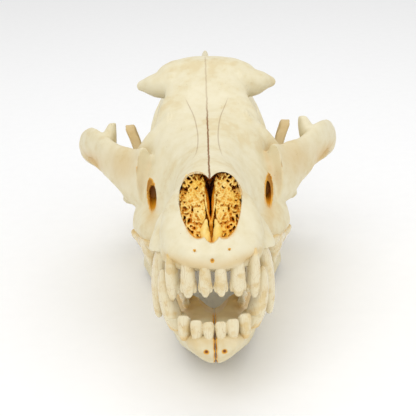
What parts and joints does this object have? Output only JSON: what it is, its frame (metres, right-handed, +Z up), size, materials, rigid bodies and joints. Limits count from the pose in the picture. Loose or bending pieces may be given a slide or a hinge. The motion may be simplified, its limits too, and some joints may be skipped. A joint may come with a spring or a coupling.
{
  "type": "wolf skull",
  "caption": "Life-size wolf skull with its lower jaw slightly open, teeth in place, resting on the lower jaw as a museum display piece.",
  "frame": {"origin": "centre of the bounding box, on the ground plane under the lower jaw", "axes": "+Y from the snout to the back of the head, +Z up, +X towards the skull's own left side"},
  "size_m": [0.1496, 0.2814, 0.1269],
  "materials": {
    "bone": "dry cleaned bone, warm cream, low sheen",
    "enamel": "smooth enamel, cream white with yellow stain near the gum line"
  },
  "bodies": {
    "root": {"muzzle": "bone", "braincase": "bone", "zygomatic_arch_left": "bone", "zygomatic_arch_right": "bone", "mandible_left": "bone", "mandible_right": "bone"}
  },
  "joints": []
}
